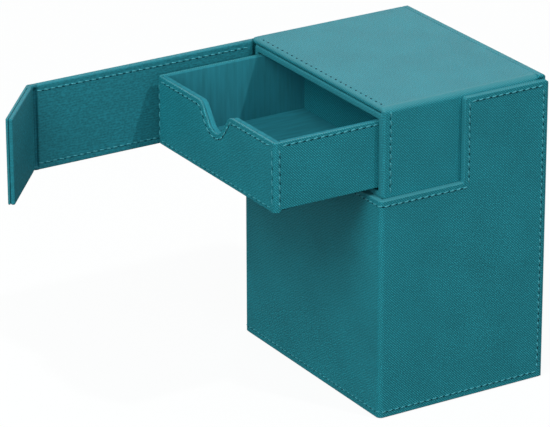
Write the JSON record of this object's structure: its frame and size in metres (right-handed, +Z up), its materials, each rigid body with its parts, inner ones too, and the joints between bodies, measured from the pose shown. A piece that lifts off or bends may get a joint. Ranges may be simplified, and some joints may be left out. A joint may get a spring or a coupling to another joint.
{
  "type": "deck box with drawer",
  "caption": "Upright stitched leatherette deck box: card compartment below, hinged lid holding a sliding drawer with a finger notch, and a magnetic wrap-around flap.",
  "frame": {"origin": "middle of the case's underside, on the surface it stands on", "axes": "+Z up; -Y is the front, the way the drawer slides out; +X is the side that the flap's tip closes on"},
  "size_m": [0.111, 0.2182, 0.14],
  "materials": {
    "leatherette": "teal leatherette with a fine diagonal twill grain, stitched along its edges",
    "flap_lining": "teal leatherette with a fine leather grain",
    "microfibre": "smooth teal microfibre with a short brushed nap",
    "magnet": "nickel-plated disc"
  },
  "bodies": {
    "case": {"front_panel": "leatherette", "left_panel": "leatherette", "right_panel": "leatherette", "base_panel": "leatherette", "back_panel": "leatherette", "spine_cover": "leatherette", "lid_hinge_strip": "leatherette", "liner_front": "microfibre", "liner_back": "microfibre", "liner_left": "microfibre", "liner_right": "microfibre", "liner_floor": "microfibre"},
    "lid": {"lid_top": "leatherette", "lid_left_side": "leatherette", "lid_right_side": "leatherette", "lid_magnet_upper": "magnet", "lid_magnet_lower": "magnet", "housing_floor": "leatherette", "housing_roof": "leatherette", "housing_left": "leatherette", "housing_right": "leatherette", "housing_back": "leatherette", "flap_root": "leatherette", "flap_hinge_strip": "leatherette"},
    "drawer": {"drawer_front": "leatherette", "drawer_front_lining": "microfibre", "drawer_left_side": "leatherette", "drawer_right_side": "leatherette", "drawer_back": "leatherette", "drawer_floor": "leatherette", "drawer_pad": "microfibre"},
    "flap": {"flap_outer": "leatherette", "flap_inner": "flap_lining", "tip_hinge_strip": "leatherette"},
    "tip": {"tip_outer": "leatherette", "tip_inner": "flap_lining", "tip_magnet_upper": "magnet", "tip_magnet_lower": "magnet"}
  },
  "joints": [
    {"name": "lid_hinge", "type": "hinge", "parent": "case", "child": "lid", "pos_m": [0, 0.04115, 0.1389], "axis": [-1, 0, 0], "range_deg": [0, 180]},
    {"name": "drawer_slide", "type": "slide", "parent": "lid", "child": "drawer", "axis": [0, -1, 0], "range_m": [-0.0502, 0.012]},
    {"name": "flap_swing", "type": "hinge", "parent": "lid", "child": "flap", "pos_m": [-0.05495, -0.0417, 0.1192], "axis": [0, 0, 1], "range_deg": [-130, 2]},
    {"name": "tip_fold", "type": "hinge", "parent": "flap", "child": "tip", "pos_m": [-0.05495, -0.1491, 0.1192], "axis": [0, 0, 1], "range_deg": [-50, 40]}
  ]
}
